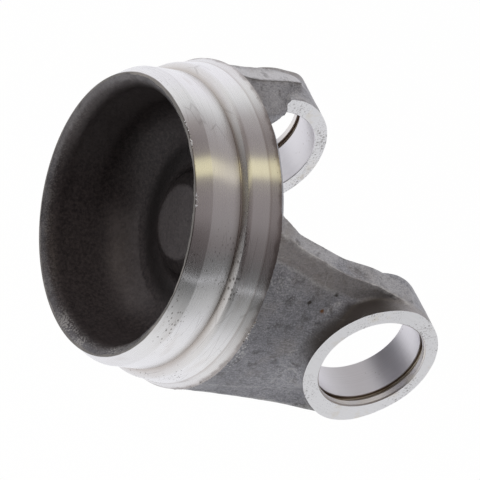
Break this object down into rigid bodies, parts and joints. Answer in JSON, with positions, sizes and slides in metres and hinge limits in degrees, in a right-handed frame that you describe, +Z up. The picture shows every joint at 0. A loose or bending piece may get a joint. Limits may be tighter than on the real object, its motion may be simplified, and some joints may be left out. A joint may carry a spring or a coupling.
{
  "type": "weld-on driveshaft yoke",
  "caption": "Forged yoke with a turned barrel that a shaft tube is pushed over and welded to, and bored ears that take the bearing caps of a universal joint.",
  "frame": {"origin": "the joint centre, where the barrel's axis meets the axis of the bearing bores", "axes": "-X along the barrel's axis, out of its mouth, the way the tube leaves; +X towards the ears' tips; Y along the bearing bores; +Z up"},
  "size_m": [0.0721, 0.0882, 0.0798],
  "materials": {
    "forged_steel": "turned and milled faces bright, the rest dark forging scale"
  },
  "bodies": {
    "root": {"weld_yoke": "forged_steel"}
  },
  "joints": []
}
